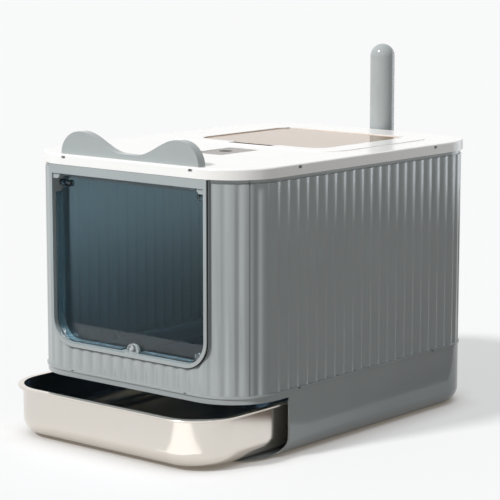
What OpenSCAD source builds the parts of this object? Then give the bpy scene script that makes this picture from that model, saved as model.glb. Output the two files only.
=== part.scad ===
// Enclosed cat litter box with a pull-out steel pan, a swinging front flap, a top hatch
// and a scoop that stands in a pocket on the back wall.
// The frame: +Z up, -Y is the front, the origin lies on the floor under the middle of the box.

/* [Cabinet] */
// Outside width across the side walls
box_w = 384; // [350:1:430]
// Outside depth from front to back
box_d = 530; // [490:1:590]
// Corner radius of the cabinet seen from above
corner_r = 73; // [60:1:85]
// Height of the base up to the seam under the wall panels
base_h = 89; // [85:1:105]
// Height of the wall panels between the seam and the lid skirt
wall_h = 275; // [255:1:310]

/* [Base] */
// Wall and floor thickness of the base
base_t = 2.6; // [2:0.1:3.2]
// Radius of the rounded lower edge of the base
base_edge_r = 22; // [16:1:25]
// How far the bead under the seam stands out
bead_out = 1.4; // [0.8:0.1:2]
// Height of the bead under the seam
bead_h = 3; // [2:0.5:4]
// Width of the litter ledge inside the base
ledge_w = 13.2; // [8:0.2:18]
// Height of the litter ledge above the seam
ledge_rise = 6; // [4:0.5:9]
// Spacing of the gussets on the litter ledge
gusset_pitch = 96; // [70:1:110]
// Height of the gussets on the litter ledge
gusset_h = 10; // [6:0.5:14]
// Depth of the pan mouth, from the front of the box to its rear edge
mouth_depth = 98; // [80:1:140]
// Clear height above the pan rim in the mouth
mouth_gap = 9.5; // [6:0.5:12]
// Radius of the lower rear corner of the pan mouth
mouth_r = 25; // [12:1:30]

/* [Wall panels] */
// Thickness of the wall panels
panel_t = 2.4; // [1.8:0.1:2.8]
// Depth of the flutes
flute_h = 1.6; // [0.8:0.1:2]
// Flute pitch on the front and back panels, with a crest on the centre line
front_pitch = 18.7; // [15:0.1:24]
// Flute pitch on the side panels, with a crest at mid depth
side_pitch = 19.4; // [15:0.1:24]
// Place of the vertical seams, as an angle round the corner from the front
seam_angle = 57; // [45:1:70]
// Width of the vertical seams
seam_gap = 0.8; // [0.4:0.1:1.2]
// Distance of the shadow groove below the lid skirt
groove_drop = 3.5; // [2:0.5:6]
// Height of the shadow groove
groove_h = 2; // [1:0.5:3]
// Width of the joining strips behind the vertical seams
strip_w = 22; // [14:1:30]
// Thickness of the joining strips
strip_t = 2.2; // [1.5:0.1:3]

/* [Door] */
// Width of the front beside the door opening
door_side = 58.5; // [52:0.5:75]
// Height of the door sill above the seam
sill_rise = 36.5; // [32:0.5:60]
// Distance from the top of the door opening to the lid skirt
door_top_drop = 12; // [10:0.5:30]
// Radius of the lower corners of the door opening
door_r = 33; // [20:1:45]
// Width of the raised rim round the door opening
rim_w = 5; // [4:0.5:8]
// How far the rim stands out from the flutes
rim_out = 2.4; // [1:0.1:3]
// Depth of the door frame behind its front face
frame_depth = 21.4; // [18:0.2:28]
// Width of the filled upper corners of the opening
corner_fill_w = 12.5; // [8:0.5:16]
// Height of the filled upper corners of the opening
corner_fill_h = 7; // [4:0.5:10]
// Thickness of the flap
flap_t = 3; // [2:0.1:4]
// Thickness of the flange round the flap
flap_flange_t = 2; // [1.4:0.1:3]
// How far the flap's flange stands forward
flap_flange_h = 10; // [6:0.5:12]
// Gap between the flap and its opening
flap_gap = 1; // [0.8:0.1:2]
// Distance from the face of the rim to the front of the flap
flap_recess = 15.9; // [13:0.1:18]
// Distance of the hinge axis below the top of the opening
hinge_drop = 14; // [12:0.5:20]
// Diameter of the flap's hinge pins
flap_pin_d = 5; // [4:0.1:6]
// Radial running clearance of pins in their bores
run_gap = 0.06; // [0.02:0.01:0.1]

/* [Latch] */
// Radius of the half-round latch boss on the sill
boss_r = 10.8; // [10:0.1:14]
// Radius of the half-disc ledge in front of the boss
boss_foot_r = 14; // [12:0.5:16]
// Height of the latch spindle above the sill
spindle_rise = 5.2; // [5:0.1:5.4]
// Diameter of the latch spindle
spindle_d = 3.6; // [3:0.1:4]
// Diameter of the latch knob
knob_d = 7; // [6:0.2:7.4]
// Length of the latch cam from its spindle
cam_l = 15; // [12:0.5:18]
// Width of the latch cam
cam_w = 5; // [4:0.2:5.6]

/* [Lid] */
// Height of the lid skirt
lid_h = 14; // [12:0.5:20]
// How far the lid skirt stands outside the walls
lid_out = 2; // [1.6:0.1:3]
// Wall thickness of the lid
lid_t = 2.4; // [2:0.1:2.8]
// Radius of the upper edge of the lid
lid_edge_r = 2.4; // [1:0.1:3]
// Width of the snap slots
slot_w = 7; // [4:0.2:9]
// Height of the snap slots
slot_h = 3.6; // [2:0.2:4]
// Distance of the snap slots below the top of the lid
slot_drop = 4; // [3.6:0.1:6]
// Distance of the snap slots from the middle of the front and back
slot_x = 112; // [60:1:116]
// Distance of the snap slots from the middle of the sides
slot_y = 149; // [80:1:170]

/* [Hatch] */
// Distance of the hatch from the sides of the box
hatch_side = 81; // [70:1:95]
// Depth of the hatch
hatch_d = 201; // [150:1:215]
// Distance of the hatch from the back of the box
hatch_rear = 67; // [60:1:80]
// Corner radius of the hatch
hatch_r = 25; // [15:1:40]
// Thickness of the hatch
hatch_t = 3; // [2.4:0.1:4]
// Gap round the hatch
hatch_gap = 1; // [0.6:0.1:2]
// Width of the shelf that carries the hatch
shelf_w = 8; // [5:0.5:12]
// Diameter of the hatch's hinge pins
hatch_pin_d = 3; // [2.4:0.1:3.4]
// Width of the raised surround of the hatch at its sides
surround_w = 38; // [20:1:50]
// Height of the raised surround
surround_h = 0.8; // [0.4:0.1:1.5]
// Width of the finger scoop in front of the hatch
finger_w = 76; // [50:1:100]
// Length of the finger scoop in front of the hatch
finger_l = 16; // [12:1:24]
// Depth of the finger scoop
finger_depth = 11; // [8:0.5:16]

/* [Ears] */
// Distance of the ear plate from the sides of the box
ear_side = 71; // [69:1:85]
// Thickness of the ear plate
ear_t = 13; // [8:0.5:18]
// Height of the ear tips above the lid
ear_h = 31.3; // [20:0.5:50]
// Height of the ear plate at its middle
ear_mid_h = 7; // [6:0.5:15]
// Width of each ear's outer flank
ear_flank = 35; // [25:1:45]
// Half width of the flat between the ears
ear_flat = 12; // [6:1:20]
// Distance of the ear plate behind the front of the box
ear_setback = 3.6; // [3:0.2:10]

/* [Deodorizer] */
// Width of the deodorizer cover
cover_w = 50; // [40:1:60]
// Length of the deodorizer cover
cover_l = 79; // [60:1:90]
// Place of the cover's middle to the right of the centre line
cover_x = 29; // [-40:1:60]
// Distance of the cover from the hatch
cover_gap = 59; // [45:1:65]
// Thickness of the cover
cover_t = 2.2; // [1.6:0.1:3]
// Diameter of the finger hole in the cover
cover_hole_d = 18; // [14:1:22]
// Depth of the pocket under the cover
pocket_depth = 20; // [14:1:28]

/* [Pan] */
// Distance of the pan's flange from the outside of the base
pan_side = 8; // [7:0.5:15]
// Difference between the corner radius of the box and of the pan
pan_corner = 6; // [2:0.5:10]
// Height of the pan's rim above the floor
pan_rim = 69; // [55:1:72]
// Width of the pan's flange
flange_w = 7; // [4:0.5:10]
// Sheet thickness of the pan
pan_t = 1.2; // [0.8:0.1:1.6]
// Radius of the pan's lower edge
pan_edge_r = 22; // [10:1:26]
// How far the pan is pulled out in this pose
pan_out = 61.5; // [0:0.5:200]

/* [Scoop] */
// Diameter of the scoop's handle
handle_d = 36; // [28:1:40]
// Height of the handle's top above the lid
handle_rise = 125; // [80:1:160]
// Length of the handle
handle_l = 171; // [140:1:220]
// Width of the scoop's head
head_w = 120; // [90:1:140]
// Length of the scoop's head
head_l = 150; // [110:1:160]
// Depth of the scoop's head at the handle
head_depth = 34; // [30:1:44]
// Depth of the scoop's head at its lip
lip_depth = 6; // [4:0.5:12]
// Wall thickness of the scoop's head
head_t = 2.2; // [1.6:0.1:3]
// Width of the sieve slots
sieve_w = 6; // [4:0.5:8]
// Length of the sieve slots
sieve_l = 24; // [12:1:30]
// Columns of sieve slots
sieve_cols = 8; // [4:1:8]
// Rows of sieve slots
sieve_rows = 4; // [2:1:4]
// Height of the holder's pocket
holder_h = 70; // [45:1:90]
// Wall thickness of the holder
holder_t = 2.4; // [1.8:0.1:3]

/* [Hidden] */

// colours
grey = "#A8AFAF";
grey_dark = "#8D9494";
white = "#F6F5F2";
tan = "#D6C5B0";
smoke = [0.36, 0.43, 0.47, 0.6];
clear = [0.92, 0.93, 0.95, 0.7];
steel = "#D7CDC1";
chrome = "#C9CCD0";
charcoal = "#2E3032";

// roundness of true arcs, of small ones, and of the flutes and plain walls
fine = 96;
small = 32;
flute_steps = 12;
wall_step = 3;

// clearances and overlaps that are used all over
seat = 0.3;          // between a piece and what carries it
fit = 0.05;          // round a fixed pin or screw
over = 1;            // how far a cutter runs past what it cuts
weld = 0.1;          // overlap of two surfaces that are one moulding
sink = 0.5;          // how far a rib or boss runs into the wall that it grows from
joint_ply = 2;       // overlap of two wall layers that are one moulding

// the cabinet's levels
skirt_z = base_h + wall_h;
lid_top = skirt_z + lid_h;
lid_under = lid_top - lid_t;
panel_top = lid_under - seat;
groove_top = skirt_z - groove_drop;
groove_z = groove_top - groove_h;
front_y = -box_d / 2;
back_y = box_d / 2;

// offsets of the wall layers from the cabinet's outline, outward positive
skirt_gap = 0.6;
band_off = lid_out - lid_t - skirt_gap;
inner_off = -flute_h - panel_t;
groove_in = 1;
groove_off = -flute_h - groove_in;
riser_gap = 0.8;
riser_off = inner_off - riser_gap;
riser_t = 2;
ledge_t = 2.4;
ledge_lip = 5;

// sizes that follow the cabinet
door_w = box_w - 2 * door_side;
hatch_w = box_w - 2 * hatch_side;
ear_w = box_w - 2 * ear_side;
ear_x = ear_w / 2 - ear_flank;
pan_w = box_w - 2 * pan_side;
pan_r = corner_r - pan_corner;
hatch_y = back_y - hatch_rear - hatch_d;

// ---------- outlines round the cabinet ----------
front_half = box_w / 2 - corner_r;
corner_arc = PI * corner_r / 2;
side_run = box_d - 2 * corner_r;
half_len = 2 * front_half + 2 * corner_arc + side_run;
seam_s = front_half + corner_r * seam_angle * PI / 180;
side_mid = half_len / 2;
corner_end = front_half + corner_arc;
side_end = corner_end + side_run;

function turned(s) = s / corner_r * 180 / PI;

// a point of the right half of the outline, s from the front's middle to the back's
function half_point(s, off) =
  s <= front_half ? [s, front_y - off] :
  s <= corner_end ? let(a = turned(s - front_half))
    [front_half + (corner_r + off) * sin(a), front_y + corner_r - (corner_r + off) * cos(a)] :
  s <= side_end ? [box_w / 2 + off, front_y + corner_r + s - corner_end] :
  s <= side_end + corner_arc ? let(a = turned(s - side_end))
    [front_half + (corner_r + off) * cos(a), back_y - corner_r + (corner_r + off) * sin(a)] :
  [half_len - s, back_y + off];

function flipped(p) = [-p.x, p.y];

function outline_point(s, off) =
  s < 0 ? flipped(half_point(-s, off)) :
  s > half_len ? flipped(half_point(2 * half_len - s, off)) :
  half_point(s, off);

// broad crests at the outline and narrower valleys, flute_h deep
crest = 0.2;
function flute(s, pitch) =
  flute_h / 2 * (cos(360 * s / pitch) - crest * cos(720 * s / pitch) - 1 + crest);

function spaced(s0, s1, n) = [for (i = [0:n]) s0 + (s1 - s0) * i / n];

// a wall between s0 and s1 with a plain outer and inner offset
module plain_wall(s0, s1, outer, inner) {
  n = ceil((s1 - s0) / wall_step);
  polygon(concat(
    [for (s = spaced(s0, s1, n)) outline_point(s, outer)],
    [for (s = spaced(s1, s0, n)) outline_point(s, inner)]));
}

// a fluted wall between s0 and s1, with a crest at s = mid
module fluted_wall(s0, s1, pitch, mid) {
  n = ceil((s1 - s0) / pitch * flute_steps);
  polygon(concat(
    [for (s = spaced(s0, s1, n)) outline_point(s, flute(s - mid, pitch))],
    [for (s = spaced(s1, s0, n)) outline_point(s, flute(s - mid, pitch) - panel_t)]));
}

module lift(z0, z1) {
  translate([0, 0, z0]) linear_extrude(z1 - z0) children();
}

// extrudes a drawing of x and z from y0 to y1
module across(y0, y1) {
  translate([0, y1, 0]) rotate([90, 0, 0]) linear_extrude(y1 - y0) children();
}

// extrudes a drawing of y and z from x0 to x1
module along(x0, x1) {
  translate([x0, 0, 0]) rotate([90, 0, 90]) linear_extrude(x1 - x0) children();
}

module both_sides() {
  for (side = [0, 1]) mirror([side, 0, 0]) children();
}

module rounded(w, d, r) {
  square([w - 2 * r, d], center = true);
  square([w, d - 2 * r], center = true);
  for (x = [-1, 1], y = [-1, 1]) translate([x * (w / 2 - r), y * (d / 2 - r)]) circle(r, $fn = fine);
}

// sweeps a drawing round a rounded rectangle: its x runs outward from the outline, its y is z
module round_sweep(w, d, r) {
  for (x = [-1, 1], y = [-1, 1])
    translate([x * (w / 2 - r), y * (d / 2 - r), 0])
      rotate_extrude(angle = 90, start = x > 0 ? (y > 0 ? 0 : 270) : (y > 0 ? 90 : 180), $fn = fine)
        translate([r, 0]) children();
  for (turn = [0, 180]) rotate([0, 0, turn]) {
    translate([w / 2, d / 2 - r, 0]) rotate([90, 0, 0]) linear_extrude(d - 2 * r) children();
    rotate([0, 0, 90])
      translate([d / 2, w / 2 - r, 0]) rotate([90, 0, 0]) linear_extrude(w - 2 * r) children();
  }
}

// the half section of a dish's wall: rounded lower edge, from the edge's centre outward
module dish_wall(h, edge_r, t) {
  difference() {
    union() {
      translate([-edge_r, edge_r]) circle(edge_r, $fn = fine);
      translate([-edge_r, edge_r]) square([edge_r, h - edge_r]);
    }
    translate([-edge_r, edge_r]) circle(edge_r - t, $fn = fine);
    translate([-2 * edge_r, -over]) square([edge_r, h + 2 * over]);
    translate([-edge_r, edge_r]) square([edge_r - t, h]);
  }
}

// the floor of a dish, inside its rounded lower edge
module dish_floor(w, d, r, edge_r, z, t) {
  lift(z, z + t) rounded(w - 2 * edge_r + 2 * weld, d - 2 * edge_r + 2 * weld, r - edge_r);
}

// ---------- base ----------
ledge_z = base_h + ledge_rise;
bead_z = base_h - bead_h;
seam_open = 0.6;
gusset_w = 0.7 * ledge_w;
gusset_t = 2;
mouth_top = pan_rim + mouth_gap;
mouth_y = front_y + mouth_depth;
// release notches in the bead, beside the snap slots on the front and back
notch_l = 5;
notch_shift = 11;

module base_ledge() {
  translate([riser_off - riser_t, bead_z]) square([riser_t, ledge_rise + bead_h]);
  translate([riser_off - ledge_w, ledge_z - ledge_t]) square([ledge_w, ledge_t]);
  translate([riser_off - ledge_w, ledge_z - ledge_lip]) square([riser_t, ledge_lip]);
  translate([riser_off - riser_t, bead_z]) square([riser_t - riser_off, bead_h]);
  translate([0, bead_z]) square([bead_out, bead_h - seam_open]);
}

module gusset(y) {
  wall = box_w / 2 + riser_off;
  toe = wall - gusset_w;
  low = ledge_z - ledge_t;
  across(y - gusset_t / 2, y + gusset_t / 2)
    polygon([[wall, low], [wall, ledge_z + gusset_h], [toe, ledge_z], [toe, low]]);
}

module mouth_cut() {
  clear_h = mouth_top - base_t;
  translate([front_y - over, base_t]) square([mouth_depth + over - mouth_r, clear_h]);
  translate([front_y - over, base_t + mouth_r]) square([mouth_depth + over, clear_h - mouth_r]);
  translate([mouth_y - mouth_r, base_t + mouth_r]) circle(mouth_r, $fn = fine);
}

module release_notches() {
  z = base_h - bead_h / 2;
  for (x = [-1, 1]) translate([x * (slot_x - notch_shift), front_y, z])
    cube([notch_l, 2 * base_t, bead_h / 2], center = true);
  for (x = [-1, 1], y = [-1, 1]) translate([x * box_w / 2, y * slot_y, z])
    cube([2 * base_t, notch_l, bead_h / 2], center = true);
}

module base_shell() {
  color(grey) difference() {
    union() {
      round_sweep(box_w, box_d, corner_r) {
        dish_wall(base_h, base_edge_r, base_t);
        base_ledge();
      }
      dish_floor(box_w, box_d, corner_r, base_edge_r, 0, base_t);
      both_sides() for (i = [-1:1]) gusset(i * gusset_pitch);
    }
    along(-box_w, box_w) mouth_cut();
    release_notches();
  }
}

// ---------- wall panels ----------
panel_z = base_h + weld;
half_gap = seam_gap / 2;
frame_gap = 0.5;         // between the door frame and the panel round it

// the panel between two places on the outline: flutes, shadow groove and plain band
module panel(s0, s1, pitch, mid) {
  lift(panel_z, groove_z) fluted_wall(s0, s1, pitch, mid);
  lift(groove_z - joint_ply, groove_top + joint_ply) plain_wall(s0, s1, groove_off, riser_off);
  lift(groove_top, panel_top) plain_wall(s0, s1, band_off, band_off - panel_t);
}

module snap_windows() {
  reach = 2 * (lid_t + over);
  z = lid_top - slot_drop;
  for (x = [-1, 1], y = [-1, 1]) {
    translate([x * slot_x, y * (box_d / 2 + lid_out), z]) cube([slot_w, reach, slot_h], center = true);
    translate([x * (box_w / 2 + lid_out), y * slot_y, z]) cube([reach, slot_w, slot_h], center = true);
  }
}

// room for the door frame below the skirt, and for its tongue above
module frame_room() {
  tongue = front_half + frame_gap;
  across(front_y - 2 * over, flange_y) {
    frame_outline(frame_gap, skirt_z);
    translate([-tongue, skirt_z - over]) square([2 * tongue, lid_h]);
  }
}

module front_panel() {
  color(grey) difference() {
    panel(-seam_s + half_gap, seam_s - half_gap, front_pitch, 0);
    frame_room();
  }
}

module side_panel() {
  panel(seam_s + half_gap, half_len - seam_s - half_gap, side_pitch, side_mid);
}

module right_panel() {
  color(grey) side_panel();
}

module left_panel() {
  color(grey) mirror([1, 0, 0]) side_panel();
}

module back_panel() {
  color(grey) difference() {
    panel(half_len - seam_s + half_gap, half_len + seam_s - half_gap, front_pitch, half_len);
    screw_holes_holder();
  }
}

module corner_strips() {
  outer = riser_off - seat;
  color(grey_dark) lift(ledge_z + seat, panel_top - joint_ply)
    both_sides() for (s = [seam_s, half_len - seam_s])
      plain_wall(s - strip_w / 2, s + strip_w / 2, outer, outer - strip_t);
}

// ---------- door frame, flap and latch ----------
sill_z = base_h + sill_rise;
door_top = skirt_z - door_top_drop;
frame_top = skirt_z - seat;
rim_y = front_y - rim_out;
frame_back = rim_y + frame_depth;
flap_y0 = rim_y + flap_recess;
flap_y1 = flap_y0 + flap_t;
hinge_y = (flap_y0 + flap_y1) / 2;
hinge_z = door_top - hinge_drop;
flange_t = 2;
flange_out = 8;
// the flange stands behind the panel where the corner has already curved back
flange_reach = door_w / 2 + rim_w + flange_out - front_half;
flange_y = front_y + corner_r - sqrt(pow(corner_r + inner_off, 2) - pow(flange_reach, 2)) + seat;

// an upright outline with rounded lower corners
module arch(half_w, z0, z1, r) {
  translate([-half_w, z0 + r]) square([2 * half_w, z1 - z0 - r]);
  translate([-half_w + r, z0]) square([2 * (half_w - r), r + weld]);
  for (x = [-1, 1]) translate([x * (half_w - r), z0 + r]) circle(r, $fn = fine);
}

module frame_outline(grow, top) {
  arch(door_w / 2 + rim_w + grow, sill_z - rim_w - grow, top, door_r + rim_w + grow);
}

module door_opening(shrink, top) {
  arch(door_w / 2 - shrink, sill_z + shrink, top, door_r - shrink);
}

// filled upper corner of the opening, with a slanted nose
fill_slant_w = 0.3 * corner_fill_w;
fill_slant_h = 0.6 * corner_fill_h;
fill_setback = 2;
fill_gap = 4;

module corner_fill() {
  x = door_w / 2;
  low = door_top - corner_fill_h;
  inner = x - corner_fill_w;
  polygon([[x + sink, door_top + sink], [x + sink, low], [inner + fill_slant_w, low],
    [inner, low + fill_slant_h], [inner, door_top + sink]]);
}

// the tongue runs up behind the front of the lid's skirt
module frame_tongue() {
  across(front_y - band_off, front_y - band_off + panel_t)
    translate([-front_half, skirt_z - over]) square([2 * front_half, panel_top - skirt_z + over]);
}

module door_frame() {
  color(grey) {
    difference() {
      union() {
        across(rim_y, frame_back) frame_outline(0, frame_top);
        across(flange_y, flange_y + flange_t) frame_outline(flange_out, frame_top);
        frame_tongue();
      }
      across(rim_y - over, frame_back + over) door_opening(0, door_top);
      both_sides() hinge_root()
        cylinder(h = 2 * pin_shank, d = shank_d + 2 * fit, center = true, $fn = small);
    }
    both_sides() across(rim_y + fill_setback, flap_y0 - fill_gap) corner_fill();
    latch_boss();
  }
}

// pivot pins of the flap, each with a conical root on the frame's side wall
pin_shank = 4;
shank_d = 3;
cone_r = 0.8 * flap_pin_d;
cone_l = 5;
pin_l = 12;

// where the flap's hinge axis meets the frame's right side wall, looking inward
module hinge_root() {
  translate([door_w / 2, hinge_y, hinge_z]) rotate([0, -90, 0]) children();
}

module flap_hinge_pins() {
  shank_end = sink - pin_shank;
  pin_r = flap_pin_d / 2;
  color(clear) both_sides() hinge_root() rotate_extrude($fn = small)
    polygon([[0, shank_end], [shank_d / 2, shank_end], [shank_d / 2, 0], [cone_r, 0],
      [pin_r, cone_l], [pin_r, cone_l + pin_l], [0, cone_l + pin_l]]);
}

// barrels at the flap's upper corners, which turn on the pins
barrel_wall = 2.2;
barrel_d = flap_pin_d + 2 * barrel_wall;
barrel_gap = 0.4;
barrel_x = door_w / 2 - cone_l - barrel_gap;
barrel_l = 16;
barrel_cap = 2;

// the flap steps in beside its barrels, so that it clears the pins' roots
step_low = 12;
step_rise = 5;
step_in = 10;

module flap_step() {
  edge = door_w / 2 - flap_gap + over;
  polygon([[barrel_x, hinge_z - step_low + step_rise], [edge, hinge_z - step_low], [edge, door_top],
    [barrel_x - step_in, door_top], [barrel_x, hinge_z + step_rise]]);
}

spindle_room = 1.4;

module flap_outline(inset) {
  room_w = cam_w / 2 + spindle_room;
  difference() {
    door_opening(flap_gap + inset, door_top - flap_gap - inset);
    for (x = [-1, 1]) scale([x, 1]) flap_step();
    translate([-room_w, sill_z]) square([2 * room_w, spindle_rise + room_w]);
  }
}

// the flange runs round the flap's front, with room for the latch boss and the hinges
boss_room = 1.5;

module flap_flange() {
  room_w = boss_foot_r + boss_room;
  difference() {
    flap_outline(0);
    flap_outline(flap_flange_t);
    translate([-room_w, sill_z]) square([2 * room_w, 2 * boss_foot_r]);
    both_sides() translate([barrel_x - step_low, hinge_z - step_low])
      square([door_w / 2, door_top - hinge_z + step_low]);
  }
}

// along the hinge axis from the inner end of the right barrel
module hinge_barrel() {
  translate([barrel_x - barrel_l, hinge_y, hinge_z]) rotate([0, 90, 0]) children();
}

module flap_door() {
  color(smoke) difference() {
    union() {
      across(flap_y0, flap_y1) flap_outline(0);
      across(flap_y0 - flap_flange_h, flap_y0 + sink) flap_flange();
      both_sides() hinge_barrel() cylinder(h = barrel_l, d = barrel_d, $fn = fine);
    }
    both_sides() hinge_barrel() translate([0, 0, barrel_cap])
      cylinder(h = barrel_l, d = flap_pin_d + 2 * run_gap, $fn = fine);
  }
}

// clear pads in the lower corners, which stop the flap at rest
stop_angle = 45;
stop_inset = 3;
stop_r = 5;
stop_t = 3;

module flap_stops() {
  turn_r = door_r - stop_inset;
  x = door_w / 2 - door_r + turn_r * sin(stop_angle);
  z = sill_z + door_r - turn_r * cos(stop_angle);
  stop_y = flap_y0 - flap_flange_h - seat;
  color(clear) across(stop_y - stop_t, stop_y) intersection() {
    door_opening(0, door_top);
    for (side = [-1, 1]) translate([side * x, z]) circle(stop_r, $fn = small);
  }
}

boss_t = 4;
boss_gap = 0.6;
boss_y1 = flap_y0 - boss_gap;
boss_y0 = boss_y1 - boss_t;
boss_rim = 1.4;
boss_pocket = 2;
foot_h = 1;
foot_setback = 1;
spindle_z = sill_z + spindle_rise;

// a half disc on the sill, from z upward
module half_disc(r, z) {
  intersection() {
    translate([0, sill_z]) circle(r, $fn = fine);
    translate([-r, z]) square([2 * r, 2 * r]);
  }
}

// half-round boss with a half-disc foot on the sill, and a bore for the spindle
module latch_boss() {
  foot_y = rim_y + foot_setback;
  difference() {
    union() {
      across(boss_y0, boss_y1) half_disc(boss_r, sill_z - sink);
      lift(sill_z - sink, sill_z + foot_h) intersection() {
        translate([0, boss_y1]) circle(boss_foot_r, $fn = fine);
        translate([-boss_foot_r, foot_y]) square([2 * boss_foot_r, boss_y1 - foot_y]);
      }
    }
    across(boss_y0 - over, boss_y0 + boss_pocket) half_disc(boss_r - boss_rim, sill_z + foot_h);
    spindle_axis() cylinder(h = box_d, d = spindle_d + 2 * run_gap, $fn = fine);
  }
}

// along the spindle's axis, forward from the cabinet's middle plane
module spindle_axis() {
  translate([0, 0, spindle_z]) rotate([90, 0, 0]) children();
}

cam_gap = 0.4;
cam_t = 2;
cam_y0 = frame_back + cam_gap;
cam_y1 = cam_y0 + cam_t;
spindle_end = 0.4;
knob_l = 5.8;
knob_gap = 0.2;
knob_y1 = boss_y0 + boss_pocket - knob_gap;
// the grip is a flat bar left between two cuts
knob_chamfer = 1.6;
knob_taper = 2.4;
knob_face_d = knob_d - knob_taper;
grip_z = 2.6;
grip_t = 2.2;

module knob_head() {
  straight = knob_l - knob_chamfer;
  difference() {
    union() {
      cylinder(h = straight, d = knob_d, $fn = fine);
      translate([0, 0, straight]) cylinder(h = knob_chamfer, d1 = knob_d, d2 = knob_face_d, $fn = fine);
    }
    for (side = [-1, 1]) translate([-knob_d, side * (knob_d + grip_t) / 2 - knob_d / 2, grip_z])
      cube([2 * knob_d, knob_d, knob_d]);
  }
}

module latch_knob() {
  back_end = cam_y1 + spindle_end;
  color(chrome) spindle_axis() {
    translate([0, 0, -back_end]) cylinder(h = back_end - knob_y1 + sink, d = spindle_d, $fn = fine);
    translate([0, 0, -knob_y1]) knob_head();
  }
}

module latch_cam() {
  tip_z = spindle_z - cam_l + cam_w / 2;
  color(grey_dark) across(cam_y0, cam_y1) difference() {
    union() {
      translate([-cam_w / 2, tip_z]) square([cam_w, spindle_z - tip_z]);
      for (z = [spindle_z, tip_z]) translate([0, z]) circle(d = cam_w, $fn = fine);
    }
    translate([0, spindle_z]) circle(d = spindle_d + fit, $fn = fine);
  }
}

// ---------- lid ----------
lid_w = box_w + 2 * lid_out;
lid_d = box_d + 2 * lid_out;
lid_r = corner_r + lid_out;
// width of the lid's rim that is swept round, up to the flat plate
rim_band = 28;

// the hatch lies a little below the lid's top, on a shelf with a wall round it
hatch_drop = 0.4;
hatch_mid = hatch_y + hatch_d / 2;
hatch_back = hatch_y + hatch_d;
hatch_top = lid_top - hatch_drop;
hatch_z = hatch_top - hatch_t;
shelf_z = hatch_z - seat;
shelf_t = 2.2;
hinge_gap = 1;
hinge_inset = 3.5;
hatch_axis_y = hatch_back - hinge_inset;
hatch_axis_z = hatch_top - hatch_pin_d;
// room in front of the axis for the hatch's barrels
barrel_room = 6;
// the rear corners of the hole are square as far out as the turned-up hatch reaches down to the lid
hinge_rise = lid_top + surround_h - hatch_axis_z + hinge_inset;
hinge_reach = sqrt(pow(hatch_r, 2) - pow(hatch_r - hinge_rise, 2));
hinge_room_w = hatch_w / 2 - hatch_r + hinge_reach + 2 * hatch_gap;
hinge_room_d = barrel_room + hinge_inset + hatch_gap + hinge_gap;
surround_shift = 6;
surround_end = 20;
surround_round = 14;
surround_d = hatch_d + 2 * surround_end;
surround_r = hatch_r + surround_round;
hinge_block_w = 14;
hinge_block_d = 11;
hinge_block_in = 4;

finger_y = hatch_y - hatch_gap - finger_l;
finger_under = shelf_w - 1;

cover_drop = 0.3;
cover_z = lid_top - cover_drop - cover_t;
cover_seam = 0.5;
cover_ledge = 2.5;
cover_r = 4;
cup_t = 1.8;
cup_w = 2.2;
pocket_y = hatch_y - cover_gap - cover_l / 2;
pocket_z = lid_top - pocket_depth;
vent_w = 4;
vent_pitch = 13;
vent_inset = 9;

screw_x = 70;
screw_d = 4;
screw_head_d = 8;
screw_head_h = 2.4;
ear_screw_l = 13;
ear_y = front_y + ear_setback;

module lid_section() {
  difference() {
    union() {
      translate([-rim_band, skirt_z]) square([rim_band, lid_h - lid_edge_r]);
      translate([-rim_band, skirt_z]) square([rim_band - lid_edge_r, lid_h]);
      translate([-lid_edge_r, lid_top - lid_edge_r]) circle(lid_edge_r, $fn = fine);
    }
    translate([-rim_band - over, skirt_z - over])
      square([rim_band + over - lid_t, lid_h + over - lid_t]);
  }
}

module hatch_hole(grow) {
  translate([0, hatch_mid + hinge_gap / 2])
    rounded(hatch_w + 2 * grow, hatch_d + hinge_gap + 2 * grow, hatch_r + grow);
}

module finger_hole(grow) {
  translate([-finger_w / 2 - grow, finger_y - grow])
    square([finger_w + 2 * grow, finger_l + finger_under + 2 * grow]);
}

module pocket_hole(grow) {
  translate([cover_x, pocket_y]) rounded(cover_w + 2 * grow, cover_l + 2 * grow, cover_r + grow);
}

module hatch_surround() {
  lift(lid_top - sink, lid_top + surround_h) translate([0, hatch_mid - surround_shift])
    rounded(hatch_w + 2 * surround_w, surround_d, surround_r);
}

// blocks under the lid that hold the hatch's hinge pins
module hinge_blocks() {
  lift(hatch_axis_z - hatch_pin_d, lid_under + sink) for (x = [-1, 1])
    translate([x * (hatch_w / 2 - hinge_block_in), hatch_axis_y])
      square([hinge_block_w, hinge_block_d], center = true);
}

module lid_blank() {
  round_sweep(lid_w, lid_d, lid_r) lid_section();
  dish_floor(lid_w, lid_d, lid_r, rim_band, lid_under, lid_t);
  hatch_surround();
  lift(shelf_z - shelf_t, lid_under + sink) hatch_hole(hatch_gap + shelf_t);
  lift(lid_top - finger_depth - cup_t, lid_under + sink) finger_hole(cup_t);
  lift(pocket_z - cup_t, lid_under + sink) pocket_hole(cup_w);
  hinge_blocks();
}

// the way through the lid: inside the shelf, and right to the rear where the hatch turns
module hatch_way() {
  lift(shelf_z, lid_top + 2 * over) hatch_hole(hatch_gap);
  lift(skirt_z, lid_top) hatch_hole(-shelf_w);
  lift(skirt_z, lid_top + 2 * over)
    translate([-hinge_room_w, hatch_axis_y - barrel_room]) square([2 * hinge_room_w, hinge_room_d]);
}

module pocket_cut() {
  lift(cover_z - seat, lid_top + 2 * over) pocket_hole(cover_seam);
  lift(pocket_z, lid_top) pocket_hole(-cover_ledge);
  for (i = [-2:2]) translate([cover_x, pocket_y + i * vent_pitch, pocket_z])
    cube([cover_w - 2 * vent_inset, vent_w, 4 * cup_t], center = true);
}

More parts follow.
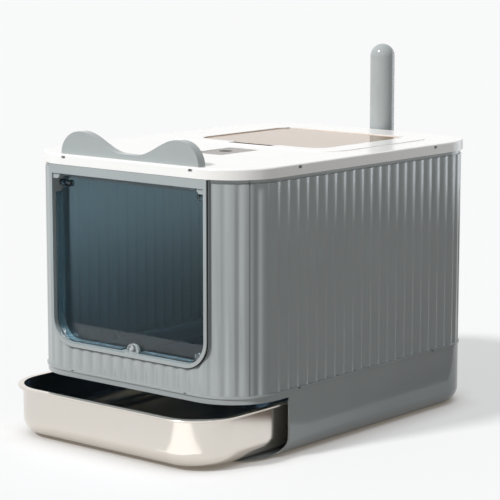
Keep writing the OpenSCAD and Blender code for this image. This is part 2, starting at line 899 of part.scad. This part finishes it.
module lid() {
  color(white) difference() {
    lid_blank();
    hatch_way();
    lift(lid_top - finger_depth, lid_top + 2 * over) finger_hole(0);
    pocket_cut();
    snap_windows();
    ear_screw_places()
      cylinder(h = 2 * ear_mid_h, d = screw_d + 2 * fit, center = true, $fn = small);
    hatch_axis()
      cylinder(h = 2 * (hatch_pin_x1 + seat), d = hatch_pin_d + 2 * fit, center = true, $fn = small);
  }
}

module ear_screw_places() {
  for (x = [-1, 1]) translate([x * screw_x, ear_y + ear_t / 2, lid_under]) children();
}

module hatch_axis() {
  translate([0, hatch_axis_y, hatch_axis_z]) rotate([0, 90, 0]) children();
}

// dark pull strip on the hatch's front edge, in the finger scoop
pull_t = 3;
pull_lip = 3.5;
pull_drop = 0.2;
pull_gap = 1;

module hatch_pull() {
  color(charcoal) lift(hatch_z - pull_lip, hatch_top - pull_drop)
    translate([pull_gap - finger_w / 2, hatch_y - pull_t])
      square([finger_w - 2 * pull_gap, pull_t]);
}

// barrels under the hatch's rear edge, which turn on the pins
hatch_barrel_l = 16;
hatch_barrel_in = 6;
hatch_barrel_x = hatch_w / 2 - hatch_r - hatch_barrel_in;
hatch_barrel_cap = 2;
hatch_barrel_wall = 1.5;
hatch_pin_play = 1;
hatch_pin_x0 = hatch_barrel_x + hatch_barrel_cap + hatch_pin_play;
hatch_pin_x1 = hatch_w / 2 - hatch_pin_play;

module hatch() {
  barrel_r = hatch_pin_d / 2 + hatch_barrel_wall;
  bore_x = hatch_barrel_x + hatch_barrel_cap;
  color(tan) difference() {
    union() {
      lift(hatch_z, hatch_top) translate([0, hatch_mid]) rounded(hatch_w, hatch_d, hatch_r);
      hatch_axis() for (x = [-1, 1]) translate([0, 0, x * (hatch_barrel_x + hatch_barrel_l / 2)])
        cylinder(h = hatch_barrel_l, r = barrel_r, center = true, $fn = fine);
    }
    hatch_axis() for (x = [-1, 1]) translate([0, 0, x * (bore_x + hatch_w / 4)])
      cylinder(h = hatch_w / 2, d = hatch_pin_d + 2 * run_gap, center = true, $fn = fine);
  }
}

module hatch_hinge_pins() {
  color(chrome) hatch_axis() for (x = [-1, 1]) translate([0, 0, x * (hatch_pin_x0 + hatch_pin_x1) / 2])
    cylinder(h = hatch_pin_x1 - hatch_pin_x0, d = hatch_pin_d, center = true, $fn = fine);
}

// ---------- ears ----------
ear_steps = 14;

// height of the ear plate at a distance x from the middle
function ear_top(x) =
  x > ear_x ? ear_h * sqrt(max(0, 1 - pow((x - ear_x) / (ear_w / 2 - ear_x), 2))) :
  x < ear_flat ? ear_mid_h :
  ear_mid_h + (ear_h - ear_mid_h) * (1 + cos(180 * (ear_x - x) / (ear_x - ear_flat))) / 2;

module ear_outline() {
  inner = spaced(ear_flat, ear_x, ear_steps);
  outer = [for (i = [1:ear_steps]) ear_x + (ear_w / 2 - ear_x) * sin(90 * i / ear_steps)];
  right = concat(inner, outer);
  last = len(right) - 1;
  polygon(concat(
    [for (x = right) [x, lid_top + ear_top(x)]],
    [for (i = [last:-1:0]) [-right[i], lid_top + ear_top(right[i])]]));
}

module ear_plate() {
  color(grey) difference() {
    across(ear_y, ear_y + ear_t) ear_outline();
    ear_screw_places() cylinder(h = ear_screw_l + over, d = screw_d + 2 * fit, $fn = small);
  }
}

// a round-shafted screw that stands on the face it clamps, its head below
module screw(head_h, length) {
  translate([0, 0, -head_h]) cylinder(h = head_h, d = screw_head_d, $fn = small);
  cylinder(h = length, d = screw_d, $fn = small);
}

module ear_screws() {
  color(chrome) ear_screw_places() screw(screw_head_h, ear_screw_l);
}

// ---------- deodorizer ----------
felt_gap = 1;
felt_inset = 3.5;
felt_r = 3;
felt_play = 0.5;
hole_shift = [-3, 2.5];

module cover_hole(shrink) {
  translate([cover_x, pocket_y] + hole_shift) circle(d = cover_hole_d - 2 * shrink, $fn = fine);
}

module deodorizer_cover() {
  color(tan) lift(cover_z, cover_z + cover_t) difference() {
    pocket_hole(0);
    cover_hole(0);
  }
}

module deodorizer_block() {
  top = cover_z - felt_gap;
  color(charcoal) {
    lift(pocket_z + seat, top) translate([cover_x, pocket_y])
      rounded(cover_w - 2 * felt_inset, cover_l - 2 * felt_inset, felt_r);
    // the felt swells up into the hole of the cover
    lift(top - sink, cover_z + cover_t - felt_play) cover_hole(felt_play);
  }
}

// ---------- pan ----------
pan_z = base_t + seat;
pan_play = 1.4;
pan_front = front_y - pan_out;
pan_back = back_y - base_t - pan_play - pan_out;
pan_d = pan_back - pan_front;
roll_r = 1.6;

module pan_section() {
  translate([-flange_w, pan_z]) dish_wall(pan_rim - pan_z, pan_edge_r, pan_t);
  translate([-flange_w - pan_t, pan_rim - pan_t]) square([flange_w + pan_t - roll_r, pan_t]);
  translate([-roll_r, pan_rim - roll_r]) circle(roll_r, $fn = small);
}

module steel_pan() {
  color(steel) translate([0, (pan_front + pan_back) / 2, 0]) {
    round_sweep(pan_w, pan_d, pan_r) pan_section();
    dish_floor(pan_w, pan_d, pan_r, flange_w + pan_edge_r, pan_z, pan_t);
  }
}

// ---------- scoop ----------
scoop_gap = 2;
handle_r = handle_d / 2;
handle_y = back_y + lid_out + scoop_gap + handle_r;
handle_top = lid_top + handle_rise;
handle_z = handle_top - handle_l;
taper_l = 18;
// the handle narrows to the head's collar, and its stub sits in the collar's socket
collar_h = 14;
collar_step = 5;
collar_gap = 0.2;
socket_floor = 0.6;
socket_wall = 4;
collar_r = handle_r - collar_step;
stub_r = collar_r - socket_wall;
stub_l = collar_h - over;
head_top = handle_z - collar_h - collar_gap;
socket_z = head_top + socket_floor;
head_z = head_top - head_l;
head_y = handle_y - head_depth / 2;
head_back = head_y + head_depth;
head_r = 14;
sieve_foot = 14;
sieve_head = 12;

module scoop_handle() {
  dome_z = handle_top - handle_r;
  color(grey) translate([0, handle_y, 0]) rotate_extrude($fn = fine) {
    polygon([[0, handle_z], [collar_r, handle_z], [handle_r, handle_z + taper_l],
      [handle_r, dome_z], [0, dome_z]]);
    intersection() {
      translate([0, dome_z]) circle(handle_r, $fn = fine);
      translate([0, dome_z]) square([handle_r, handle_r]);
    }
    translate([0, handle_z - stub_l]) square([stub_r, stub_l + over]);
  }
}

module upright(w, z0, z1, r) {
  translate([0, (z0 + z1) / 2]) rounded(w, z1 - z0, r);
}

// the head's side view: deep at the handle, shallow at the lip
module side_taper() {
  lip_y = head_y + lip_depth;
  polygon([[head_y - over, head_z - over], [lip_y, head_z - over], [lip_y, head_z],
    [head_back, head_top], [head_back, head_top + over], [head_y - over, head_top + over]]);
}

module sieve() {
  pitch_x = (head_w - 2 * head_r) / (sieve_cols - 1);
  pitch_z = (head_l - sieve_foot - sieve_head) / sieve_rows;
  straight = sieve_l - sieve_w;
  for (i = [0:sieve_cols - 1], j = [0:sieve_rows - 1])
    translate([-head_w / 2 + head_r + i * pitch_x, head_z + sieve_foot + (j + 0.5) * pitch_z]) {
      square([sieve_w, straight], center = true);
      for (z = [-1, 1]) translate([0, z * straight / 2]) circle(d = sieve_w, $fn = small);
    }
}

module scoop_head() {
  color(grey) difference() {
    union() {
      intersection() {
        across(head_y, head_back) upright(head_w, head_z, head_top, head_r);
        along(-head_w, head_w) side_taper();
      }
      translate([0, handle_y, head_top - sink]) cylinder(h = collar_h + sink, r = collar_r, $fn = fine);
    }
    across(head_y + head_t, head_back + over)
      upright(head_w - 2 * head_t, head_z + head_t, head_top - head_t, head_r - head_t);
    across(head_y - over, head_y + 2 * head_t) sieve();
    translate([0, handle_y, socket_z]) cylinder(h = collar_h, r = stub_r + fit, $fn = fine);
  }
}

holder_play = 2;
holder_gap = 1.5;
holder_r = 8;
holder_seat = 0.2;
holder_y = back_y + holder_seat;
holder_in = head_y + lip_depth + (head_depth - lip_depth) * holder_h / head_l + holder_play;
holder_z = head_z - seat;
holder_top = holder_z + holder_h;
holder_w = head_w + 2 * holder_gap;
plate_h = 26;
scallop_r = 45;
scallop_rise = 20;
holder_screw_x = 0.32 * head_w;
holder_screw_l = 9;
holder_head_h = 1.8;

// on the face of the holder's plate, pointing forward into the back panel
module holder_screw_places() {
  for (x = [-1, 1]) translate([x * holder_screw_x, holder_y + holder_t, holder_top + plate_h / 2])
    rotate([90, 0, 0]) children();
}

module screw_holes_holder() {
  holder_screw_places() cylinder(h = 4 * holder_screw_l, d = screw_d + 2 * fit, center = true, $fn = small);
}

module scoop_holder() {
  outer_w = holder_w + 2 * holder_t;
  color(grey) difference() {
    union() {
      across(holder_y, holder_in + holder_t) upright(outer_w, holder_z - holder_t, holder_top, holder_r);
      across(holder_y, holder_y + holder_t) upright(outer_w, holder_z, holder_top + plate_h, holder_r);
    }
    across(holder_y + holder_t, holder_in) {
      upright(holder_w, holder_z, holder_top, head_r);
      translate([-holder_w / 2, holder_z + holder_h / 2]) square([holder_w, holder_h]);
    }
    // scalloped front edge
    across(holder_in - over, holder_in + 2 * holder_t)
      translate([0, holder_top + scallop_rise]) circle(scallop_r, $fn = fine);
    screw_holes_holder();
  }
}

module holder_screws() {
  color(chrome) holder_screw_places() screw(holder_head_h, holder_screw_l);
}

base_shell();
front_panel();
left_panel();
right_panel();
back_panel();
corner_strips();
door_frame();
flap_stops();
flap_hinge_pins();
flap_door();
latch_knob();
latch_cam();
lid();
hatch();
hatch_pull();
hatch_hinge_pins();
ear_plate();
ear_screws();
deodorizer_cover();
deodorizer_block();
steel_pan();
scoop_handle();
scoop_head();
scoop_holder();
holder_screws();
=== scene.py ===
# Enclosed litter box: moulded grey walls with flutes, a white lid, a smoked flap, a tinted
# hatch, a drawn steel pan and a scoop in its holder, on a pale studio floor.
import math

import bpy
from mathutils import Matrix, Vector


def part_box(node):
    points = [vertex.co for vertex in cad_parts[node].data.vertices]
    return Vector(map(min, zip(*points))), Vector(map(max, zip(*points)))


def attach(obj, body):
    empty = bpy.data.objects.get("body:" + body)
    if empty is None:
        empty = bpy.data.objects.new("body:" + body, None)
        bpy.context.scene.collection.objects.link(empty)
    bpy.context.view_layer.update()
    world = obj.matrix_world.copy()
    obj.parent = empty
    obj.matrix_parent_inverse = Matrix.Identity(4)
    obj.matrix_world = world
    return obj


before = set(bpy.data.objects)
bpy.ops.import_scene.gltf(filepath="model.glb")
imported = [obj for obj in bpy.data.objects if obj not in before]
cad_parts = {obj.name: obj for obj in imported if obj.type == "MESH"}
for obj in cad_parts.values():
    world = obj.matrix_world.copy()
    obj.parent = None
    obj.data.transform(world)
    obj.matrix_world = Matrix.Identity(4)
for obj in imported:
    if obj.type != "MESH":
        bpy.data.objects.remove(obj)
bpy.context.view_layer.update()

MM = 0.001


def linear(hex_colour):
    """The linear colour of an sRGB hex value."""
    parts = [int(hex_colour[i : i + 2], 16) / 255 for i in (1, 3, 5)]
    return tuple(c / 12.92 if c <= 0.04045 else ((c + 0.055) / 1.055) ** 2.4 for c in parts) + (1.0,)


# ---------------------------------------------------------------- materials
def add(tree, kind, settings=None, **inputs):
    """Add a node, set its settings, and set or link its inputs; i0, i1 name an input by its place."""
    made = tree.nodes.new(kind)
    for name, value in (settings or {}).items():
        setattr(made, name, value)
    for name, value in inputs.items():
        key = int(name[1:]) if name[0] == "i" and name[1:].isdigit() else name.replace("_", " ")
        socket = made.inputs[key]
        if isinstance(value, bpy.types.NodeSocket):
            tree.links.new(value, socket)
        else:
            socket.default_value = value
    return made


def finish_of(name):
    """A new material with a Principled shader; returns it, its tree and the shader."""
    material = bpy.data.materials.new(name)
    material.use_nodes = True
    tree = material.node_tree
    return material, tree, tree.nodes["Principled BSDF"]


def per_metre(size_mm):
    """Texture scale at which one feature is about size_mm wide."""
    return 1000 / size_mm


def moulded_abs(name, colour, roughness, grain_mm=14, grain_depth_mm=0.02, cloud=0.02):
    """Injection-moulded ABS from a polished mould: glossy, with a faint swell and flow clouds."""
    material, tree, shader = finish_of(name)
    place = add(tree, "ShaderNodeTexCoord").outputs["Object"]
    swell = add(tree, "ShaderNodeTexNoise", Vector=place, Scale=per_metre(grain_mm), Detail=2.0, Roughness=0.4)
    flow = add(tree, "ShaderNodeTexNoise", Vector=place, Scale=per_metre(90), Detail=3.0, Roughness=0.5)
    spread = add(tree, "ShaderNodeMapRange", Value=flow.outputs["Fac"], From_Min=0.3, From_Max=0.7,
                 To_Min=1 - cloud, To_Max=1 + cloud)
    tint = add(tree, "ShaderNodeHueSaturation", Color=linear(colour), Value=spread.outputs["Result"])
    sheen = add(tree, "ShaderNodeMapRange", Value=flow.outputs["Fac"], From_Min=0.3, From_Max=0.7,
                To_Min=roughness - 0.02, To_Max=roughness + 0.02)
    bump = add(tree, "ShaderNodeBump", Height=swell.outputs["Fac"], Distance=grain_depth_mm * MM, Strength=1.0)
    tree.links.new(tint.outputs["Color"], shader.inputs["Base Color"])
    tree.links.new(sheen.outputs["Result"], shader.inputs["Roughness"])
    tree.links.new(bump.outputs["Normal"], shader.inputs["Normal"])
    shader.inputs["IOR"].default_value = 1.52
    return material


def smoked_sheet(name, colour, roughness, shadow, clear=1.0):
    """Acrylic or polycarbonate, dyed through: glossy and see-through, or cloudy where clear is below 1."""
    material, tree, shader = finish_of(name)
    shader.inputs["Base Color"].default_value = linear(colour)
    shader.inputs["Transmission Weight"].default_value = clear
    shader.inputs["IOR"].default_value = 1.49
    place = add(tree, "ShaderNodeTexCoord").outputs["Object"]
    wave = add(tree, "ShaderNodeTexNoise", Vector=place, Scale=per_metre(60), Detail=1.0)
    haze = add(tree, "ShaderNodeMapRange", Value=wave.outputs["Fac"], To_Min=roughness, To_Max=roughness + 0.01)
    tree.links.new(haze.outputs["Result"], shader.inputs["Roughness"])
    # lamps reach what is behind the sheet, dimmed by the dye
    rays = add(tree, "ShaderNodeLightPath")
    film = add(tree, "ShaderNodeBsdfTransparent", Color=linear(shadow))
    both = add(tree, "ShaderNodeMixShader", i0=rays.outputs["Is Shadow Ray"], i1=shader.outputs["BSDF"],
               i2=film.outputs["BSDF"])
    tree.links.new(both.outputs["Shader"], tree.nodes["Material Output"].inputs["Surface"])
    return material


# the painted shade on the steel pan's inside starts this far from its middle's line, and this far below the rim's
# top
INNER_REACH_MM = 20
RIM_BAND_MM = 12


def drawn_steel(name):
    """Deep-drawn stainless sheet, satin polished round its walls: stretched highlights and fine lines, and a
    painted darker inside.
    """
    material, tree, shader = finish_of(name)
    coordinates = add(tree, "ShaderNodeTexCoord")
    place = coordinates.outputs["Object"]
    normal = coordinates.outputs["Normal"]
    # polishing lines 0.8 mm apart run round the walls, so they're long in plan and short in height
    squeeze = add(tree, "ShaderNodeMapping", Vector=place, Scale=(0.02, 0.02, 1.0))
    lines = add(tree, "ShaderNodeTexNoise", Vector=squeeze.outputs["Vector"], Scale=per_metre(0.8), Detail=2.0)
    smudge = add(tree, "ShaderNodeTexNoise", Vector=place, Scale=per_metre(45), Detail=3.0)
    rough = add(tree, "ShaderNodeMapRange", Value=smudge.outputs["Fac"], From_Min=0.3, From_Max=0.7,
                To_Min=0.13, To_Max=0.18)
    scratch = add(tree, "ShaderNodeBump", Height=lines.outputs["Fac"], Distance=0.003 * MM, Strength=1.0)
    # painted shade: the inside, which the photo shows much darker, has a darker tone that stands in for its shade
    # and dark reflections: the faces that look at the pan's middle, and those that look up from below the rim
    low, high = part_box("steel_pan")
    middle = [(a + b) / 2 for a, b in zip(low, high)]
    away = add(tree, "ShaderNodeVectorMath", {"operation": "SUBTRACT"}, i0=place, i1=middle)
    plan = add(tree, "ShaderNodeVectorMath", {"operation": "MULTIPLY"}, i0=away.outputs["Vector"], i1=(1, 1, 0))
    facing = add(tree, "ShaderNodeVectorMath", {"operation": "DOT_PRODUCT"}, i0=plan.outputs["Vector"],
                 i1=normal)
    painted_shade_walls = add(tree, "ShaderNodeMath", {"operation": "LESS_THAN"}, i0=facing.outputs["Value"],
                i1=-INNER_REACH_MM * MM)
    height = add(tree, "ShaderNodeSeparateXYZ", Vector=place).outputs["Z"]
    upward = add(tree, "ShaderNodeSeparateXYZ", Vector=normal).outputs["Z"]
    level = add(tree, "ShaderNodeMath", {"operation": "GREATER_THAN"}, i0=upward, i1=0.6)
    below_rim = add(tree, "ShaderNodeMath", {"operation": "LESS_THAN"}, i0=height,
                    i1=high[2] - RIM_BAND_MM * MM)
    bottom = add(tree, "ShaderNodeMath", {"operation": "MULTIPLY"}, i0=level.outputs["Value"],
                 i1=below_rim.outputs["Value"])
    painted_shade_mask = add(tree, "ShaderNodeMath", {"operation": "MAXIMUM"}, i0=painted_shade_walls.outputs["Value"],
                 i1=bottom.outputs["Value"])
    tone = add(tree, "ShaderNodeMix", {"data_type": "RGBA"}, i0=painted_shade_mask.outputs["Value"], i6=linear("#DDD7CF"),
               i7=linear("#8A949E"))
    tree.links.new(tone.outputs[2], shader.inputs["Base Color"])
    shader.inputs["Metallic"].default_value = 1.0
    tree.links.new(rough.outputs["Result"], shader.inputs["Roughness"])
    tree.links.new(scratch.outputs["Normal"], shader.inputs["Normal"])
    return material


def plated_steel(name):
    """Nickel-plated steel of the knob, pins and screws: bright, with faint wear."""
    material, tree, shader = finish_of(name)
    place = add(tree, "ShaderNodeTexCoord").outputs["Object"]
    wear = add(tree, "ShaderNodeTexNoise", Vector=place, Scale=per_metre(3), Detail=4.0)
    rough = add(tree, "ShaderNodeMapRange", Value=wear.outputs["Fac"], To_Min=0.08, To_Max=0.22)
    shader.inputs["Base Color"].default_value = linear("#CFD1D3")
    shader.inputs["Metallic"].default_value = 1.0
    tree.links.new(rough.outputs["Result"], shader.inputs["Roughness"])
    return material


def carbon_felt(name):
    """Needled felt filled with carbon: black, fibrous, dull."""
    material, tree, shader = finish_of(name)
    place = add(tree, "ShaderNodeTexCoord").outputs["Object"]
    fibre = add(tree, "ShaderNodeTexNoise", Vector=place, Scale=per_metre(1.2), Detail=6.0, Roughness=0.7)
    shade = add(tree, "ShaderNodeMapRange", Value=fibre.outputs["Fac"], To_Min=0.6, To_Max=1.6)
    tint = add(tree, "ShaderNodeHueSaturation", Color=linear("#1C1C1D"), Value=shade.outputs["Result"])
    nap = add(tree, "ShaderNodeBump", Height=fibre.outputs["Fac"], Distance=0.3 * MM, Strength=0.8)
    tree.links.new(tint.outputs["Color"], shader.inputs["Base Color"])
    tree.links.new(nap.outputs["Normal"], shader.inputs["Normal"])
    shader.inputs["Roughness"].default_value = 0.95
    shader.inputs["Sheen Weight"].default_value = 0.2
    return material


grey_abs = moulded_abs("grey moulded ABS", "#A2A8A8", 0.12)
dark_grey_abs = moulded_abs("dark grey moulded ABS", "#6F7576", 0.3)
white_abs = moulded_abs("white moulded ABS", "#F1F0ED", 0.22, cloud=0.008)
charcoal_abs = moulded_abs("charcoal moulded ABS", "#45494A", 0.4)
black_rubber = moulded_abs("black moulded rubber", "#121213", 0.8)
# rubber is dull even where it is seen along its face
black_rubber.node_tree.nodes["Principled BSDF"].inputs["Specular IOR Level"].default_value = 0.15
smoked_polycarbonate = smoked_sheet("smoked polycarbonate sheet", "#B0CAD6", 0.0, "#F4FAFD")
bronze_acrylic = smoked_sheet("bronze acrylic sheet", "#C2A582", 0.1, "#D6C3A6", clear=0.6)
brown_acrylic = smoked_sheet("brown acrylic sheet", "#6E5D4A", 0.2, "#A08868", clear=0.5)
clear_polycarbonate = smoked_sheet("clear moulded polycarbonate", "#F4F6F8", 0.05, "#F0F2F4")
stainless = drawn_steel("drawn stainless steel")
nickel = plated_steel("nickel-plated steel")
felt = carbon_felt("carbon felt")

FINISH = {
    "base_shell": grey_abs, "front_panel": grey_abs, "left_panel": grey_abs, "right_panel": grey_abs,
    "back_panel": grey_abs, "corner_strips": charcoal_abs, "door_frame": grey_abs,
    "flap_stops": clear_polycarbonate, "flap_hinge_pins": clear_polycarbonate,
    "flap_door": smoked_polycarbonate, "latch_knob": nickel, "latch_cam": dark_grey_abs,
    "lid": white_abs, "hatch": bronze_acrylic, "hatch_pull": black_rubber, "hatch_hinge_pins": nickel,
    "ear_plate": grey_abs, "ear_screws": nickel, "deodorizer_cover": brown_acrylic,
    "deodorizer_block": felt, "steel_pan": stainless, "scoop_handle": grey_abs,
    "scoop_head": grey_abs, "scoop_holder": grey_abs, "holder_screws": nickel,
}

# width of the small round on each node's moulded or cut edges, mm
EDGE = {
    "base_shell": 0.6, "door_frame": 0.8, "lid": 0.5, "hatch": 0.5, "ear_plate": 0.9,
    "flap_door": 0.4, "deodorizer_cover": 0.4, "scoop_head": 0.6, "scoop_holder": 0.6,
    "latch_knob": 0.25, "latch_cam": 0.25, "deodorizer_block": 0.5, "flap_stops": 0.3,
    "hatch_pull": 0.4,
}

for name, material in FINISH.items():
    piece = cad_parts[name]
    piece.data.materials.clear()
    piece.data.materials.append(material)
    piece.data.polygons.foreach_set("use_smooth", [True] * len(piece.data.polygons))
    piece.data.set_sharp_from_angle(angle=math.radians(28))
    if name in EDGE:
        soft = piece.modifiers.new("edge", "BEVEL")
        soft.width = EDGE[name] * MM
        soft.segments = 2
        soft.limit_method = "ANGLE"
        soft.angle_limit = math.radians(40)
        soft.harden_normals = True
        soft.use_clamp_overlap = True


# ---------------------------------------------------------------- painted gap shade
def round_bead(name, points, thickness_mm):
    """A mesh bead of round section along a line of points, given in millimetres."""
    line = bpy.data.curves.new(name, "CURVE")
    line.dimensions = "3D"
    line.bevel_depth = thickness_mm / 2 * MM
    line.bevel_resolution = 3
    line.use_fill_caps = True
    path = line.splines.new("POLY")
    path.points.add(len(points) - 1)
    for point, place in zip(path.points, points):
        point.co = (*(c * MM for c in place), 1.0)
    pattern = bpy.data.objects.new(name, line)
    bpy.context.scene.collection.objects.link(pattern)
    bpy.context.view_layer.update()
    mesh = bpy.data.meshes.new_from_object(pattern)
    bpy.data.objects.remove(pattern)
    piece = bpy.data.objects.new(name, mesh)
    bpy.context.scene.collection.objects.link(piece)
    piece.data.polygons.foreach_set("use_smooth", [True] * len(piece.data.polygons))
    return piece


def arch_line(half_width, bottom, top, radius, y, steps=14):
    """Down one side of the doorway, round its two lower corners and up the other side."""
    line = [(-half_width, y, top)]
    for side, first in ((-1, 180), (1, 270)):
        for step in range(steps + 1):
            turn = math.radians(first + 90 * step / steps)
            line.append((side * (half_width - radius) + radius * math.cos(turn), y,
                         bottom + radius + radius * math.sin(turn)))
    line.append((half_width, y, top))
    return line


# outline of the door frame's rim in the source, mm
RIM_HALF_W, RIM_Z, RIM_R, RIM_TOP = 138.5, 120.5, 38, 363
# painted shade: a black rubber bead fills the joint between the rim and the wall, near the wall's face, where the
# gap's shade falls
GAP_SHADE_Y, GAP_SHADE_OUT, GAP_SHADE_D = -265.2, 0.5, 1.4
gap_shade_line = arch_line(RIM_HALF_W + GAP_SHADE_OUT, RIM_Z - GAP_SHADE_OUT, RIM_TOP, RIM_R + GAP_SHADE_OUT, GAP_SHADE_Y)
painted_gap_shade = round_bead("door_gap_shade", gap_shade_line, GAP_SHADE_D)
painted_gap_shade.data.materials.append(black_rubber)
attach(painted_gap_shade, "base")


# ---------------------------------------------------------------- floor and light
def seen_rays(tree):
    """1 for the rays that show the background itself: camera, glossy and transmission rays."""
    rays = add(tree, "ShaderNodeLightPath")
    seen = add(tree, "ShaderNodeMath", {"operation": "MAXIMUM"}, i0=rays.outputs["Is Camera Ray"],
               i1=rays.outputs["Is Transmission Ray"])
    return add(tree, "ShaderNodeMath", {"operation": "MAXIMUM"}, i0=seen.outputs["Value"],
               i1=rays.outputs["Is Glossy Ray"]).outputs["Value"]


def flat_card(name, corners, material):
    """A flat face that belongs to the studio, not to the box."""
    mesh = bpy.data.meshes.new(name)
    mesh.from_pydata(corners, [], [tuple(range(len(corners)))])
    card = bpy.data.objects.new(name, mesh)
    bpy.context.scene.collection.objects.link(card)
    mesh.materials.append(material)
    return card


def studio_floor():
    """White paper: it bounces a grey card's light, and is seen near white with the box's shadow and a painted
    contact shadow on it.
    """
    material, tree, shader = finish_of("pale studio paper")
    tree.nodes.remove(shader)
    bounce = add(tree, "ShaderNodeBsdfDiffuse", Color=linear("#AAA8A5"))
    # painted shadow: a dark, slightly warm line of contact beside what stands on the paper, drawn into the paper's
    # glow where ambient occlusion finds something near
    close = add(tree, "ShaderNodeAmbientOcclusion", {"samples": 8}, Distance=0.09)
    painted_contact_shadow = add(tree, "ShaderNodeMapRange", Value=close.outputs["AO"], From_Min=0.25, From_Max=0.75)
    shade = add(tree, "ShaderNodeMix", {"data_type": "RGBA"}, i0=painted_contact_shadow.outputs["Result"],
                i6=linear("#8F867A"), i7=linear("#FFFFFF"))
    paper = add(tree, "ShaderNodeBsdfDiffuse", Color=(0.4, 0.4, 0.4, 1.0))
    glow = add(tree, "ShaderNodeEmission", Color=shade.outputs[2], Strength=0.52)
    lit = add(tree, "ShaderNodeAddShader", i0=paper.outputs["BSDF"], i1=glow.outputs["Emission"])
    both = add(tree, "ShaderNodeMixShader", i0=seen_rays(tree), i1=bounce.outputs["BSDF"], i2=lit.outputs["Shader"])
    tree.links.new(both.outputs["Shader"], tree.nodes["Material Output"].inputs["Surface"])
    size = 30
    flat_card("floor", [(-size, -size, 0), (size, -size, 0), (size, size, 0), (-size, size, 0)], material)


def studio_light():
    """Even, pale light from all round; the rays that show the background see white."""
    world = bpy.data.worlds.new("studio")
    bpy.context.scene.world = world
    world.use_nodes = True
    tree = world.node_tree
    tree.nodes.clear()
    room = add(tree, "ShaderNodeBackground", Color=linear("#F2F4F7"), Strength=0.42)
    paper = add(tree, "ShaderNodeBackground", Color=(1.0, 1.0, 1.0, 1.0), Strength=1.0)
    both = add(tree, "ShaderNodeMixShader", i0=seen_rays(tree), i1=room.outputs["Background"],
               i2=paper.outputs["Background"])
    add(tree, "ShaderNodeOutputWorld", Surface=both.outputs["Shader"])


def sun(strength, angle_deg, towards):
    """One soft white key lamp, high in front of the box."""
    lamp = bpy.data.lights.new("key", "SUN")
    lamp.energy = strength
    lamp.angle = math.radians(angle_deg)
    lamp_object = bpy.data.objects.new("key", lamp)
    lamp_object.rotation_euler = Vector(towards).to_track_quat("Z", "Y").to_euler()
    bpy.context.scene.collection.objects.link(lamp_object)


def reflection_card(name, corners, near, fade=None):
    """A card that only reflections see; fade is its far tone, and where along x the change starts and ends."""
    material, tree, shader = finish_of(name)
    tree.nodes.remove(shader)
    glow = add(tree, "ShaderNodeEmission", Color=(*near, 1.0))
    if fade:
        far, start, end = fade
        place = add(tree, "ShaderNodeTexCoord").outputs["Object"]
        across = add(tree, "ShaderNodeSeparateXYZ", Vector=place).outputs["X"]
        along = add(tree, "ShaderNodeMapRange", {"interpolation_type": "SMOOTHSTEP"}, Value=across,
                    From_Min=start, From_Max=end)
        tone = add(tree, "ShaderNodeMix", {"data_type": "RGBA"}, i0=along.outputs["Result"], i6=(*near, 1.0),
                   i7=(*far, 1.0))
        tree.links.new(tone.outputs[2], glow.inputs["Color"])
    tree.links.new(glow.outputs["Emission"], tree.nodes["Material Output"].inputs["Surface"])
    card = flat_card(name, corners, material)
    card.visible_camera = False
    card.visible_transmission = False
    card.visible_shadow = False
    card.visible_diffuse = False


def photo_camera():
    """The photograph's view: 40 degrees round to the right, 9 degrees up."""
    lens = bpy.data.cameras.new("camera")
    lens.sensor_width = 36
    lens.lens = 143.73
    lens.clip_end = 100
    eye = bpy.data.objects.new("camera", lens)
    bpy.context.scene.collection.objects.link(eye)
    around, up = math.radians(40.105), math.radians(9.182)
    back = Vector((math.sin(around) * math.cos(up), -math.cos(around) * math.cos(up), math.sin(up)))
    eye.location = (1.761413, -2.109337, 0.672933)
    eye.rotation_euler = (-back).to_track_quat("-Z", "Y").to_euler()
    bpy.context.scene.camera = eye


studio_floor()
studio_light()
sun(3.1, 7, (-0.18, -0.69, 0.70))


def on_floor(*corners):
    """Corners of a card that lies on the floor, just clear of the paper."""
    return [(x, y, 0.0005) for x, y in corners]


# a brown floor beside the box darkens the reflections in its right side
reflection_card("brown_card",
                on_floor((0.28, -0.02), (0.42, -0.12), (1.1, -1.2), (3.0, -1.2), (3.0, 2.0), (0.3, 2.0)),
                (0.10, 0.075, 0.055))
# a bright wall behind the box draws the highlights at the tops of the flutes
reflection_card("back_light", [(0.15, 2.5, 0), (1.6, 2.5, 0), (1.6, 2.5, 1.2), (0.15, 2.5, 1.2)], (2.6, 2.8, 3.0))
# a dark floor in front that turns blue to the left gives the flap its sheen
reflection_card("front_card", on_floor((-3.0, -2.2), (0.6, -2.2), (0.6, -0.78), (-3.0, -0.78)),
                (0.0, 0.0, 0.0), fade=((1.05, 1.65, 1.95), -0.5, -1.75))
# a bright strip in front of the steel pan's right corner gives it an upright highlight
reflection_card("corner_light", on_floor((0.06, -0.36), (0.24, -0.36), (0.3, -1.2), (0.0, -1.2)),
                (1.45, 1.45, 1.45))
photo_camera()
bpy.context.scene.view_settings.view_transform = "Standard"
